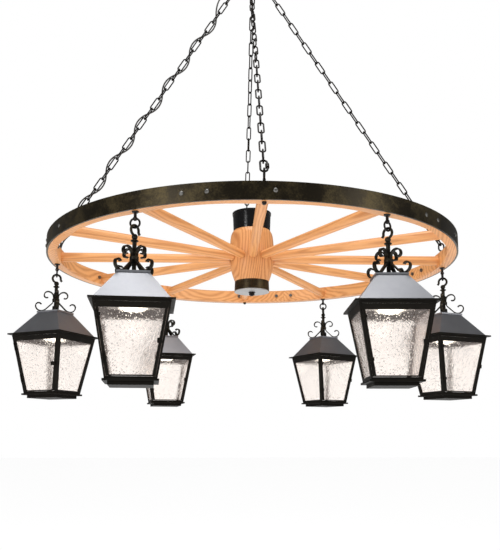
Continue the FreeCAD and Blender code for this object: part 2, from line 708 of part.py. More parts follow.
# ------------------------------------------------------------------ eye bolts
eye = group("eye_raised", [oval("eye_oval", size.eye_wire_r, size.eye_bow_r, size.eye_straight)],
            (0, 0, eye_bow_up - size.eye_straight / 2))
eye_neck_top = size.rim_high / 2 + size.eye_neck_long + size.eye_wire_r
eye_neck = cylinder("eye_neck", size.eye_neck_r, eye_neck_top - size.rim_high / 2,
                    (0, 0, size.rim_high / 2 + size.seat_gap))
eye_foot = cylinder("eye_foot", size.eye_foot_r, size.eye_foot_high,
                    (0, 0, size.rim_high / 2 + size.seat_gap))
short_end = -size.rim_high / 2 + size.post_shank_long + size.bolt_r
long_end = -size.rim_high / 2 - size.nut_high - size.bolt_end
eyes = []
for kind, low_end in (("short", short_end), ("long", long_end)):
    shank = cylinder("eye_shank_" + kind, size.bolt_r, eye_neck_top - low_end, (0, 0, low_end))
    eyes.append(fuse("eye_bolt_" + kind, [eye, eye_neck, eye_foot, shank]))
eye_nut = nut("eye_nut", size.nut_corner_r, size.nut_high, size.bolt_r + size.shank_fit,
              (0, 0, -size.rim_high / 2 - size.nut_high - size.seat_gap))
eye_sets = []
for k in CHAIN_SPOKES:
    pieces = [eyes[0]] if k in LANTERN_SPOKES else [eyes[1], eye_nut]
    raised = group("eye_at_rim_%d" % k, pieces, (hang_r, 0, 0))
    eye_sets.append(group("eye_turned_%d" % k, [raised], (0, 0, 0), UP, STEP_DEG * k))
keep("chain_eye_bolts", group("eye_bolts", eye_sets, (0, 0, wheel_z)))

# ------------------------------------------------------------------ tyre and felloes
tyre_in_r = size.tyre_outer_r - size.tyre_thick
felloe_out_r = tyre_in_r - size.tyre_fit
felloe_in_r = felloe_out_r - size.felloe_deep
bolt_angles = []
for number in range(FELLOES):
    joint = size.first_joint_deg + SECTOR_DEG * number
    bolt_angles += [joint - size.joint_bolt_deg, joint + size.joint_bolt_deg]
    bolt_angles.append(joint + size.mid_bolt_deg)

bolt_drill = cylinder("bolt_drill", size.bolt_r + size.bolt_fit, size.felloe_deep * 3,
                      (felloe_in_r - size.felloe_deep, 0, 0), DEPTH, 90)
bolt_drills = group("bolt_drills", [
    group("bolt_drill_%d" % n, [bolt_drill], (0, 0, 0), UP, angle)
    for n, angle in enumerate(bolt_angles)])

tyre_bar = turned("tyre_bar", [
    (tyre_in_r, -size.rim_high / 2),
    (size.tyre_outer_r, -size.rim_high / 2),
    (size.tyre_outer_r, size.rim_high / 2),
    (tyre_in_r, size.rim_high / 2),
])
tyre = cut("tyre_drilled", tyre_bar, bolt_drills)
keep("tyre", place(tyre, (0, 0, wheel_z)))

open_deg = math.degrees(float(size.felloe_gap) / float(felloe_in_r))
felloe_blank = turned("felloe_blank", [
    (felloe_in_r, -size.rim_high / 2),
    (felloe_out_r, -size.rim_high / 2),
    (felloe_out_r, size.rim_high / 2),
    (felloe_in_r, size.rim_high / 2),
], SECTOR_DEG - open_deg)
place(felloe_blank, (0, 0, 0), UP, size.first_joint_deg + open_deg / 2)

chamfer_off = felloe_in_r + size.chamfer_deep - size.chamfer_bow
chamfer_low = cone("chamfer_low", size.chamfer_bow, size.chamfer_bow - size.chamfer_deep,
                   size.chamfer_deep, (chamfer_off, 0, -size.rim_high / 2))
chamfer_top = cone("chamfer_top", size.chamfer_bow - size.chamfer_deep, size.chamfer_bow,
                   size.chamfer_deep, (chamfer_off, 0, size.rim_high / 2 - size.chamfer_deep))
chamfers = group("chamfers", [
    group("chamfer_%d" % n, [chamfer], (0, 0, 0), UP, STEP_DEG * (n + 0.5))
    for n in range(3) for chamfer in (chamfer_low, chamfer_top)])
mortise = cylinder("mortise", size.tenon_r + size.tenon_fit,
                   size.rim_tenon_long * 2 + size.tenon_fit,
                   (felloe_in_r - size.rim_tenon_long, 0, 0), DEPTH, 90)
mortises = group("mortises", [
    group("mortise_%d" % n, [mortise], (0, 0, 0), UP, STEP_DEG * n) for n in (1, 2)])
felloe_shaped = cut("felloe_shaped", felloe_blank, chamfers)
felloe = cut("felloe_mortised", felloe_shaped, mortises)
felloe_ring = group("felloe_ring", [
    group("felloe_%d" % n, [felloe], (0, 0, 0), UP, SECTOR_DEG * n) for n in range(FELLOES)])
through = cylinder("through_drill", size.bolt_r + size.bolt_fit, size.rim_high * 2,
                   (hang_r, 0, -size.rim_high))
blind = cylinder("blind_drill", size.bolt_r + size.bolt_fit, size.rim_high,
                 (hang_r, 0, size.post_shank_long + size.bolt_fit - size.rim_high * 1.5))
upright_drills = [
    group("upright_drill_%d" % k, [through if k in CHAIN_SPOKES else blind], (0, 0, 0), UP,
          STEP_DEG * k)
    for k in sorted(set(CHAIN_SPOKES + LANTERN_SPOKES))]
felloes_bolted = cut("felloes_bolted", felloe_ring, bolt_drills)
felloes = cut("felloes_drilled", felloes_bolted, group("upright_drills", upright_drills))
keep("felloes", place(felloes, (0, 0, wheel_z)))

# ------------------------------------------------------------------ hub
socket_foot = size.hub_belly_r - size.hub_tenon_long
hub_body = turned("hub_body", [
    (size.rod_r + size.rod_fit, size.hub_nose_z),
    (size.hub_nose_r, size.hub_nose_z),
    (size.hub_nose_r, size.hub_neck_z),
    (size.hub_neck_r, size.hub_neck_z, size.hub_neck_bow),
    (size.hub_waist_r, size.hub_waist_z, size.hub_waist_bow),
    (size.hub_belly_r, size.hub_belly_z, size.hub_belly_bow),
    (size.hub_shoulder_r, size.hub_shoulder_z, size.hub_top_bow),
    (size.hub_top_r, size.hub_top_z),
    (size.rod_r + size.rod_fit, size.hub_top_z),
])
socket = cylinder("hub_socket", size.tenon_r + size.tenon_fit, size.hub_tenon_long * 2,
                  (socket_foot, 0, 0), DEPTH, 90)
sockets = group("hub_sockets", [
    group("hub_socket_%d" % k, [socket], (0, 0, 0), UP, STEP_DEG * k) for k in range(SPOKES)])
hub = cut("hub_bored", hub_body, sockets)
keep("hub", place(hub, (0, 0, wheel_z)))

# ------------------------------------------------------------------ spokes
spoke_start = size.hub_belly_r + size.hub_shoulder_gap
spoke_stop = felloe_in_r - size.rim_shoulder_gap
spoke = turned("spoke_turned", [
    (0, socket_foot + size.tenon_fit),
    (size.tenon_r, socket_foot + size.tenon_fit),
    (size.tenon_r, spoke_start),
    (size.spoke_hub_r, spoke_start),
    (size.spoke_rim_r, spoke_stop),
    (size.tenon_r, spoke_stop),
    (size.tenon_r, felloe_in_r + size.rim_tenon_long - size.tenon_fit),
    (0, felloe_in_r + size.rim_tenon_long - size.tenon_fit),
])
place(spoke, (0, 0, 0), DEPTH, 90)
spokes = group("spoke_ring", [
    group("spoke_%d" % k, [spoke], (0, 0, 0), UP, STEP_DEG * k) for k in range(SPOKES)])
keep("spokes", place(spokes, (0, 0, wheel_z)))

# ------------------------------------------------------------------ hub band and end disc
band_in_r = size.hub_nose_r + size.band_fit
band = turned("band_turned", [
    (band_in_r, size.hub_nose_z),
    (size.band_low_r, size.hub_nose_z),
    (size.band_top_r, size.hub_neck_z - size.seat_gap),
    (band_in_r, size.hub_neck_z - size.seat_gap),
])
keep("hub_band", place(band, (0, 0, wheel_z)))

disc_top = size.hub_nose_z - size.seat_gap
disc_low = disc_top - size.disc_thick
disc = turned("disc_turned", [
    (size.rod_r + size.rod_fit, disc_low),
    (size.disc_r, disc_low),
    (size.disc_r, disc_top),
    (size.rod_r + size.rod_fit, disc_top),
])
keep("hub_end_disc", place(disc, (0, 0, wheel_z)))

# ------------------------------------------------------------------ can, lid and driver
can_low = size.hub_top_z + size.seat_gap
can_top = can_low + size.can_high
can = turned("can_turned", [
    (size.rod_r + size.rod_fit, can_low),
    (size.can_low_r, can_low),
    (size.can_top_r, can_top),
    (size.can_top_r - size.can_wall, can_top),
    (size.can_low_r - size.can_wall, can_low + size.can_wall),
    (size.rod_r + size.rod_fit, can_low + size.can_wall),
])
lid_in_r = size.can_top_r + size.lid_fit
lid_top = can_top + size.seat_gap + size.can_wall
lid = turned("lid_turned", [
    (0, can_top + size.seat_gap),
    (lid_in_r, can_top + size.seat_gap),
    (lid_in_r, lid_top - size.lid_lip),
    (lid_in_r + size.can_wall, lid_top - size.lid_lip),
    (lid_in_r + size.can_wall, lid_top),
    (0, lid_top),
])
keep("hub_can", group("can_and_lid", [can, lid], (0, 0, wheel_z)))

driver_body = doc.addObject("PartDesign::Body", "driver_body")
driver_x = size.driver_long / 2
driver_y = size.driver_off + size.driver_wide
driver_sketch = outline(driver_body, "driver_plan", "XY_Plane", [
    (-driver_x, size.driver_off), (driver_x, size.driver_off),
    (driver_x, driver_y), (-driver_x, driver_y)])
driver_pad = driver_body.newObject("PartDesign::Pad", "driver_pad")
driver_pad.Profile = driver_sketch
bind(driver_pad, {"Length": size.driver_high})
doc.recompute()
upright_edges = [
    "Edge%d" % (n + 1) for n, edge in enumerate(driver_pad.Shape.Edges)
    if abs(edge.Length - float(size.driver_high)) < size.seat_gap.value]
driver_fillet = driver_body.newObject("PartDesign::Fillet", "driver_corners")
driver_fillet.Base = (driver_pad, upright_edges)
bind(driver_fillet, {"Radius": size.driver_round})
driver_body.Tip = driver_fillet
driver_z = wheel_z + can_low + size.can_wall + size.seat_gap
keep("led_driver", place(driver_body, (0, 0, driver_z)))

# ------------------------------------------------------------------ wheel bolts and tie rod
bolt_shank_foot = felloe_in_r - size.nut_high - size.bolt_end
bolt_shank = cylinder("bolt_shank", size.bolt_r, size.tyre_outer_r - bolt_shank_foot,
                      (bolt_shank_foot, 0, 0), DEPTH, 90)
bolt_head = turned("bolt_head", [
    (0, 0),
    (size.bolt_head_r, 0),
    (size.bolt_head_r, size.bolt_head_edge),
    (size.bolt_head_flat, size.bolt_head_high),
    (0, size.bolt_head_high),
])
place(bolt_head, (size.tyre_outer_r, 0, 0), DEPTH, 90)
bolt = fuse("tyre_bolt", [bolt_shank, bolt_head])
bolt_nut = nut("bolt_nut", size.nut_corner_r, size.nut_high, size.bolt_r + size.shank_fit,
               (felloe_in_r - size.nut_high - size.seat_gap, 0, 0), DEPTH, 90)
tyre_bolts = [
    group("tyre_bolt_%d" % n, [bolt, bolt_nut], (0, 0, 0), UP, angle)
    for n, angle in enumerate(bolt_angles)]
rod_foot = disc_low - size.washer_high - size.rod_nut_high - size.rod_end
rod_top = can_low + size.can_wall + size.rod_nut_high + size.rod_end
rod = cylinder("tie_rod", size.rod_r, rod_top - rod_foot, (0, 0, rod_foot))
washer_blank = cylinder("washer_blank", size.washer_r, size.washer_high - size.seat_gap,
                        (0, 0, disc_low - size.washer_high))
washer_bore = cylinder("washer_bore", size.rod_r + size.shank_fit, size.washer_high * 3,
                       (0, 0, disc_low - size.washer_high * 2))
washer = cut("rod_washer", washer_blank, washer_bore)
low_nut = nut("rod_nut_low", size.rod_nut_r, size.rod_nut_high - size.seat_gap,
              size.rod_r + size.shank_fit,
              (0, 0, disc_low - size.washer_high - size.rod_nut_high))
top_nut = nut("rod_nut_top", size.rod_nut_r, size.rod_nut_high, size.rod_r + size.shank_fit,
              (0, 0, can_low + size.can_wall + size.seat_gap))
keep("wheel_bolts", group("bolt_set", tyre_bolts + [rod, washer, low_nut, top_nut],
                          (0, 0, wheel_z)))

# ------------------------------------------------------------------ lantern posts
post_ball_z = -size.rim_high / 2 - size.post_ball_low
flange_top = -size.rim_high / 2 - size.seat_gap
post_flange = cone("post_flange", size.post_flange_low_r, size.post_flange_r,
                   size.post_flange_high, (0, 0, flange_top - size.post_flange_high))
post_neck = cylinder("post_neck", size.post_neck_r, flange_top - post_ball_z,
                     (0, 0, post_ball_z))
post_shank = cylinder("post_shank", size.bolt_r, size.post_shank_long + size.post_flange_high,
                      (0, 0, flange_top - size.post_flange_high))
post_ball = doc.addObject("Part::Sphere", "post_ball")
bind(post_ball, {"Radius": size.post_ball_r})
place(post_ball, (0, 0, post_ball_z))
post_blank = fuse("post_blank", [post_flange, post_neck, post_shank, post_ball])
posts = []
for k in LANTERN_SPOKES:
    ring_turn = LANTERN_TURNS[k][2]
    hole = cylinder("post_hole_%d" % k, size.post_hole_r, size.post_ball_r * 4,
                    (-size.post_ball_r * 2, 0, 0), DEPTH, 90)
    turned_hole = group("post_hole_turned_%d" % k, [hole], (0, 0, post_ball_z), UP, ring_turn)
    post = cut("post_bored_%d" % k, post_blank, turned_hole)
    out = spoke_direction(k)
    posts.append(group("post_%d" % k, [post], (hang_r * out.x, hang_r * out.y, 0)))
keep("lantern_posts", group("post_set", posts, (0, 0, wheel_z)))

# ------------------------------------------------------------------ one lantern
# The lantern's own frame starts at the hole in the post's ball; its door faces -Y.
hang_ring_z = size.hang_ring_rise - size.hang_ring_r
hook_top_z = hang_ring_z - size.hang_ring_r + size.hang_wire_r + size.hook_wire_r \
    + size.hook_play


def bent_wire(start, heading_deg, moves):
    """Path in the XZ plane: each move is (None, length) or (radius, turn), left turns > 0."""
    here = V(start[0], 0, start[1])
    heading = math.radians(heading_deg)
    edges = []
    for radius, amount in moves:
        if radius is None:
            there = here + V(math.cos(heading), 0, math.sin(heading)) * amount
            edges.append(Part.LineSegment(here, there).toShape())
            here = there
            continue
        turn = math.radians(amount)
        side = math.copysign(radius, turn)
        centre = here + V(-math.sin(heading), 0, math.cos(heading)) * side
        stops = []
        for share in (0.5, 1.0):
            angle = heading + turn * share
            stops.append(centre + V(math.sin(angle), 0, -math.cos(angle)) * side)
        edges.append(Part.Arc(here, stops[0], stops[1]).toShape())
        here = stops[1]
        heading += turn
    return Part.Wire(edges)


def swept(path, profile):
    pipe = Part.BRepOffsetAPI.MakePipeShell(path)
    pipe.setBiNormalMode(DEPTH)
    pipe.add(profile)
    pipe.build()
    pipe.makeSolid()
    return pipe.shape()


def round_profile(path, radius):
    edge = path.Edges[0]
    start = edge.valueAt(edge.FirstParameter)
    along = edge.tangentAt(edge.FirstParameter)
    return Part.Wire([Part.Circle(start, along, radius).toShape()])


def bar_profile(path, thick, wide):
    edge = path.Edges[0]
    start = edge.valueAt(edge.FirstParameter)
    across = edge.tangentAt(edge.FirstParameter).cross(DEPTH).normalize() * (thick / 2)
    deep = DEPTH * (wide / 2)
    corners = [start + across + deep, start - across + deep, start - across - deep,
               start + across - deep]
    return Part.makePolygon(corners + corners[:1])


def hook_shape():
    bow = float(size.hook_bow_r)
    join_deg = float(size.hook_join_deg)
    lead = float(size.hook_lead)
    join = math.radians(join_deg)
    centre_z = float(hook_top_z) - bow
    heading = join_deg - 90
    back = math.radians(heading + 180)
    start = (bow * math.cos(join) + lead * math.cos(back),
             centre_z + bow * math.sin(join) + lead * math.sin(back))
    path = bent_wire(start, heading, [
        (None, lead), (bow, -float(size.hook_turn_deg)),
        (float(size.hook_lip_r), float(size.hook_lip_deg)), (None, float(size.hook_tip))])
    return swept(path, round_profile(path, float(size.hook_wire_r)))


def sine(degrees):
    return math.sin(math.radians(degrees))


scroll_drop = (size.lower_lead_r + size.lower_lean) * sine(45) \
    + size.lower_foot_r * (1 - sine(45))
tie_z = scroll_drop + size.scroll_thick / 2 + size.seat_gap - size.cap_low


def scroll_shape():
    start = (float(size.scroll_in), float(tie_z))
    upper = bent_wire(start, 90, [
        (None, float(size.upper_rise)), (float(size.upper_lead_r), -90.0),
        (float(size.upper_curl_r), -float(size.upper_curl_deg)),
        (float(size.upper_eye_r), -float(size.upper_eye_deg))])
    lower = bent_wire(start, -90, [
        (float(size.lower_lead_r), 45.0), (None, float(size.lower_lean)),
        (float(size.lower_foot_r), 45.0), (float(size.lower_curl_r), 90.0),
        (float(size.lower_eye_r), float(size.lower_eye_deg))])
    halves = [
        swept(path, bar_profile(path, float(size.scroll_thick), float(size.scroll_wide)))
        for path in (upper, lower)]
    return halves[0].fuse(halves[1])


bulb_z = -size.bulb_low
bead_z = -size.bead_low
cap_top = -size.cap_low
stem_foot = cap_top + size.seat_gap
stem = turned("stem_turned", [
    (0, cap_top - size.stem_thread),
    (size.stem_thread_r, cap_top - size.stem_thread),
    (size.stem_thread_r, stem_foot),
    (size.stem_r, stem_foot),
    (size.stem_r, tie_z - size.tie_high / 2),
    (size.tie_r, tie_z - size.tie_high / 2),
    (size.tie_r, tie_z + size.tie_high / 2),
    (size.stem_r, tie_z + size.tie_high / 2),
    (size.stem_r, bead_z - size.bead_high / 2, size.bead_high),
    (size.bead_r, bead_z, size.bead_high),
    (size.bulb_neck_r, bead_z + size.bead_high / 2),
    (size.bulb_neck_r, bulb_z - size.bulb_foot, size.bulb_r),
    (0, bulb_z + size.bulb_r),
])
hook = made("hook_bent", hook_shape())
scroll = made("scroll_bent", scroll_shape())
scrolls = [group("scroll_%d" % n, [scroll], (0, 0, 0), UP, 90 * n) for n in range(4)]
crown_iron = fuse("crown_iron", [stem, hook] + scrolls)
stem_nut = nut("stem_nut", size.nut_corner_r, size.nut_high, size.stem_thread_r + size.shank_fit,
               (0, 0, cap_top - size.cap_thick - size.nut_high - size.seat_gap))
crown = group("crown", [crown_iron, stem_nut])

# frame, roof and plates of the lantern's body
eave_top = -size.eave_low
frame_top = eave_top - size.eave_thick
frame_foot = frame_top - size.frame_high
beyond = size.eave_half * 2


def frame_half(below):
    """Half width of the frame at a depth below the eave."""
    return size.frame_top_half - (size.frame_top_half - size.frame_low_half) \
        * below / size.frame_high


window_low = size.frame_high - size.low_rail


def glass_half(below):
    """Half width of a window at a depth below the eave."""
    run = window_low - size.top_rail
    return size.glass_top_half - (size.glass_top_half - size.glass_low_half) \
        * (below - size.top_rail) / run


def face_block(name, half, top_below, low_below, front, back):
    """Trapezoid block that follows a slanted face between two depths below the eave."""
    return pyramid(name, half(low_below), half(top_below), frame_top - low_below,
                   frame_top - top_below, front, back)


frame_outer = pyramid("frame_outer", size.frame_low_half, size.frame_top_half, frame_foot,
                      frame_top)
frame_inner = pyramid("frame_inner", size.frame_low_half - size.frame_wall,
                      size.frame_top_half - size.frame_wall, frame_foot, frame_top)
frame_shell = cut("frame_shell", frame_outer, frame_inner)
side_windows = group("side_windows", [
    face_block("window_through", glass_half, size.top_rail, window_low, -beyond, beyond)],
    (0, 0, 0), UP, 90)
back_window = face_block("window_back", glass_half, size.top_rail, window_low, 0, beyond)
front_window = face_block("window_front", glass_half, size.top_rail, window_low, -beyond, 0)


def opening_half(below):
    return frame_half(below) - size.door_post


def door_half(below):
    return opening_half(below) - size.door_gap


rail_low = size.frame_high - size.door_rail_gap
door_opening = face_block("door_opening", opening_half, size.door_rail_gap, rail_low,
                          -beyond, 0)
frame_open = cut("frame_open", frame_shell,
                 group("frame_cuts", [side_windows, back_window, door_opening]))

roof_outer = pyramid("roof_outer", size.roof_low_half, size.roof_top_half, eave_top,
                     cap_top - size.cap_thick)
roof_inner = pyramid("roof_inner", size.roof_low_half - size.roof_inset,
                     size.roof_top_half - size.roof_inset, eave_top, cap_top - size.cap_thick)
roof = cut("roof_shell", roof_outer, roof_inner)
cap_bore = cylinder("cap_bore", size.stem_thread_r + size.shank_fit, size.cap_thick * 3,
                    (0, 0, cap_top - size.cap_thick * 2))
cap = cut("cap_bored", plate("cap_plate", size.cap_half, size.cap_thick, cap_top), cap_bore)
eave = cut("eave_open", plate("eave_plate", size.eave_half, size.eave_thick, eave_top),
           plate("eave_hole", size.eave_hole_half, size.eave_thick * 3,
                 eave_top + size.eave_thick))
foot = plate("foot_plate", size.foot_half, size.foot_thick, frame_foot)
tray = plate("tray_plate", size.tray_half, size.tray_high, frame_foot - size.foot_thick)

# hinges stand on the seam left of the door, along the slanted post
slope = float((size.frame_top_half - size.frame_low_half) / size.frame_high)
hinge_up = V(-slope, -slope, 1).normalize()
face_out = V(0, -1, -slope).normalize()
face_right = hinge_up.cross(face_out).normalize()


def on_face(below, half, out):
    """Point on the front face's left seam or right edge, moved out of the face."""
    return V(half, -float(frame_half(below)), float(frame_top - below)) + face_out * out


def hinge_pieces(middle_below):
    """Knuckles and leaves of one hinge: what stays on the frame, and what swings."""
    seam = -float(opening_half(middle_below) - size.door_gap / 2)
    middle = on_face(middle_below, seam, float(size.hinge_out))
    gap = float(size.hinge_gap)
    third = (float(size.hinge_long) - 2 * gap) / 3
    pin_r = float(size.pin_r)
    fixed = [Part.makeCylinder(pin_r, float(size.hinge_long),
                               middle - hinge_up * (float(size.hinge_long) / 2), hinge_up)]
    for offset, on_frame in ((-third - gap, True), (0.0, False), (third + gap, True)):
        low = middle + hinge_up * (offset - third / 2)
        knuckle = Part.makeCylinder(float(size.hinge_r), third, low, hinge_up)
        reach = float(size.frame_leaf) if on_frame else float(size.door_leaf)
        leaf = Part.makeBox(reach, float(size.leaf_thick), third)
        on_surface = low - face_out * float(size.hinge_out)
        if on_frame:
            corner, way, outward = on_surface, -face_right, face_out
        else:
            corner = on_surface + face_out * float(size.leaf_thick)
            way, outward = face_right, -face_out
        turn = FreeCAD.Rotation(way, outward, hinge_up, "ZYX")
        leaf.Placement = FreeCAD.Placement(corner, turn)
        solid = knuckle.fuse(leaf)
        if on_frame:
            fixed.append(solid)
            continue
        bore = Part.makeCylinder(pin_r + float(size.pin_fit), third * 3,
                                 low - hinge_up * third, hinge_up)
        swinging = solid.cut(bore)
    return fixed[0].fuse(fixed[1:]), swinging


upper_hinge = hinge_pieces(size.hinge_upper_low)
lower_hinge = hinge_pieces(size.hinge_lower_low)
frame_hinges = [
    made("frame_hinge_%d" % n, pair[0]) for n, pair in enumerate((upper_hinge, lower_hinge))]
door_hinges = [
    made("door_hinge_%d" % n, pair[1]) for n, pair in enumerate((upper_hinge, lower_hinge))]
housing = fuse("housing", [cap, roof, eave, frame_open, foot, tray] + frame_hinges)

# door leaf with its knuckles and knob
door_top = size.door_rail_gap + size.door_gap
door_low = rail_low - size.door_gap
door_block = face_block("door_block", door_half, door_top, door_low, -beyond, 0)
door_leaf = cut("door_leaf", shared("door_sheet", frame_shell, door_block), front_window)


def knob_shape():
    across = float(door_half(size.knob_low) - size.knob_in)
    root = on_face(size.knob_low, across, 0)
    stem = Part.makeCylinder(float(size.knob_stem_r), float(size.knob_out), root, face_out)
    half = float(size.knob_half)
    thick = float(size.knob_plate)
    head = Part.makeBox(half * 2, half * 2, thick)
    turn = FreeCAD.Rotation(ACROSS, V(0, -slope, 1), face_out, "ZXY")
    corner = V(-half, -half, float(size.knob_out) - thick)
    head.Placement = FreeCAD.Placement(root, turn).multiply(
        FreeCAD.Placement(corner, FreeCAD.Rotation()))
    return stem.fuse(head)


knob = made("door_knob", knob_shape())
door = fuse("door", [door_leaf, knob] + door_hinges)

# glass
glass_out = size.frame_wall + size.pane_gap
glass_in = glass_out + size.pane_thick
glass_shell = cut(
    "glass_shell",
    pyramid("glass_outer", size.frame_low_half - glass_out, size.frame_top_half - glass_out,
            frame_foot, frame_top),
    pyramid("glass_inner", size.frame_low_half - glass_in, size.frame_top_half - glass_in,
            frame_foot, frame_top))


def pane_half(below):
    return glass_half(below) + size.pane_lap


pane_top = size.top_rail - size.pane_lap
pane_low = window_low + size.pane_lap
pane = shared("pane", glass_shell,
              face_block("pane_block", pane_half, pane_top, pane_low, -beyond, 0))
fixed_panes = group("fixed_panes", [
    group("pane_%d" % n, [pane], (0, 0, 0), UP, 90 * n) for n in (1, 2, 3)])

# lamp module on its carrier plate, which lies on the eave plate inside the roof
pan_low = eave_top + size.seat_gap
pan = plate("lamp_pan", size.lamp_pan_half, size.lamp_pan_thick,
            pan_low + size.lamp_pan_thick)
module = cylinder("lamp_body", size.lamp_r, size.lamp_deep, (0, 0, pan_low - size.lamp_deep))
lens_top = pan_low - size.lamp_deep - size.seat_gap
lens = turned("lamp_lens", [
    (0, lens_top - size.lens_edge - size.lens_dome, size.lens_bow),
    (size.lens_r, lens_top - size.lens_edge),
    (size.lens_r, lens_top),
    (0, lens_top),
])
lamp = group("lamp", [fuse("lamp_module", [pan, module]), lens])

# hanging ring
hang_ring = doc.addObject("Part::Torus", "hang_ring")
bind(hang_ring, {"Radius1": size.hang_ring_r, "Radius2": size.hang_wire_r})
place(hang_ring, (0, 0, hang_ring_z), ACROSS, 90)

# ------------------------------------------------------------------ six lanterns on the wheel
lantern_z = wheel_z + post_ball_z
for k in LANTERN_SPOKES:
    body_turn, hook_turn, ring_turn = LANTERN_TURNS[k]
    out = spoke_direction(k)
    spot = (hang_r * out.x, hang_r * out.y, lantern_z)
    for label, thing, turn in (
            ("ring", hang_ring, ring_turn), ("crown", crown, hook_turn),
            ("housing", housing, body_turn), ("panes", fixed_panes, body_turn),
            ("lamp", lamp, body_turn), ("door", door, body_turn),
            ("door_pane", pane, body_turn)):
        name = "%s_%d" % (label, k)
        keep(name, group(name, [thing], spot, UP, turn))

# ------------------------------------------------------------------ supply cord
def cord_path(points, share):
    """Straight runs joined by tangent arcs, each as large as its two runs allow."""
    edges = []
    radii = []
    here = points[0]
    for before, corner, after in zip(points, points[1:], points[2:]):
        come = (corner - before)
        leave = (after - corner)
        half_turn = come.getAngle(leave) / 2
        reach = share * min(come.Length, leave.Length)
        radii.append(reach / math.tan(half_turn))
        come.normalize()
        leave.normalize()
        first = corner - come * reach
        last = corner + leave * reach
        inward = (leave - come).normalize()
        middle = corner + inward * (radii[-1] / math.cos(half_turn) - radii[-1])
        edges.append(Part.LineSegment(here, first).toShape())
        edges.append(Part.Arc(first, middle, last).toShape())
        here = last
    edges.append(Part.LineSegment(here, points[-1]).toShape())
    return Part.Wire(edges), radii


def cord_tube(name, points):
    path, radii = cord_path(points, float(size.cord_bend))
    pipe = Part.BRepOffsetAPI.MakePipeShell(path)
    pipe.add(round_profile(path, float(size.cord_r)))
    pipe.build()
    pipe.makeSolid()
    tube = pipe.shape()
    expected = math.pi * float(size.cord_r) ** 2 * path.Length
    print("%s: length %.0f, least radius %.1f, volume %.4f of section times length" % (
        name, path.Length, min(radii), tube.Volume / expected))
    return tube


# the cord passes through every other link of the left chain
WOVEN = range(1, 24, 2)
WOVEN_SPOKE = CHAIN_SPOKES[2]
WAY_UP = ((46.0 - WHEEL_R, 12.0, 80.0), (26.0 - WHEEL_R, 19.0, 47.0))
WAY_OVER = ((-97.0, 11.0, 1136.0), (-55.0, 20.0, 1188.0), (-22.0, 24.0, 1230.0))
rim_top = float(wheel_z + size.rim_high / 2)


def from_wheel(point):
    return V(*point) + UP * float(wheel_z)


route = [V(WAY_UP[1][0], WAY_UP[1][1], rim_top + float(size.seat_gap))]
route += [from_wheel(point) for point in reversed(WAY_UP)]
for number in WOVEN:
    frame = chain_frame(WOVEN_SPOKE, number)
    inward = frame.Rotation.multVec(UP).cross(DEPTH)
    side = 1 if number % 4 == 1 else -1
    if inward.z > 0:
        side = -side
    route.append(frame.Base + inward * (side * float(size.cord_corner)))
route += [from_wheel(point) for point in WAY_OVER]
swivel = V(0, float(size.swivel_y), float(swivel_z))
route += [swivel - UP * float(size.swivel_lead), swivel - UP * float(size.cord_gap / 2)]
wheel_cord = made("wheel_cord", cord_tube("supply cord", route))
grommet_blank = cylinder("grommet_blank", size.gland_r, size.gland_high,
                         (route[0].x, route[0].y, wheel_z + size.rim_high / 2 + size.seat_gap))
grommet_bore = cylinder("grommet_bore", size.cord_r + size.shank_fit, size.gland_high * 3,
                        (route[0].x, route[0].y, wheel_z + size.rim_high / 2 - size.gland_high))
keep("supply_cord", group("cord_on_wheel", [
    wheel_cord, cut("rim_grommet", grommet_blank, grommet_bore)]))

gland_y = float(size.gland_y)
canopy_z = -float(size.canopy_high)
gland_foot = canopy_z - float(size.gland_high)
tail_route = [
    V(0, gland_y, canopy_z + float(size.gland_in)),
    V(0, gland_y, gland_foot - float(size.gland_out)),
    V(0, swivel.y, gland_foot - float(size.gland_out + size.swivel_lead)),
    swivel + UP * float(size.cord_gap / 2),
]
tail = made("tail_cord", cord_tube("cord tail", tail_route))
gland_low = -size.canopy_high - size.gland_high
gland_blank = cylinder("gland_blank", size.gland_r, size.gland_high - size.seat_gap,
                       (0, size.gland_y, gland_low))
gland_bore = cylinder("gland_bore", size.cord_r + size.shank_fit, size.gland_high * 3,
                      (0, size.gland_y, gland_low - size.gland_high))
keep("cord_tail", group("cord_from_canopy", [tail, cut("canopy_gland", gland_blank,
                                                       gland_bore)]))

# ------------------------------------------------------------------ test and write
doc.recompute()
for thing in doc.Objects:
    if "Invalid" in thing.State or "Error" in thing.State:
        raise RuntimeError("%s failed: %s" % (thing.Name, thing.State))
os.makedirs("parts", exist_ok=True)
for sub_part in sub_parts:
    shape = sub_part.Shape
    if shape.isNull() or not shape.isValid():
        raise RuntimeError("%s has no valid shape" % sub_part.Label)
for sub_part in sub_parts:
    shape = sub_part.Shape
    shape.exportStep("parts/%s.step" % sub_part.Label)
    bounds = shape.BoundBox
    print("%-16s %3d solids %9.0f mm3  x %7.1f %7.1f  y %7.1f %7.1f  z %8.1f %8.1f" % (
        sub_part.Label, len(shape.Solids), shape.Volume, bounds.XMin, bounds.XMax,
        bounds.YMin, bounds.YMax, bounds.ZMin, bounds.ZMax))
print("%d nodes" % len(sub_parts))
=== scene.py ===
import math

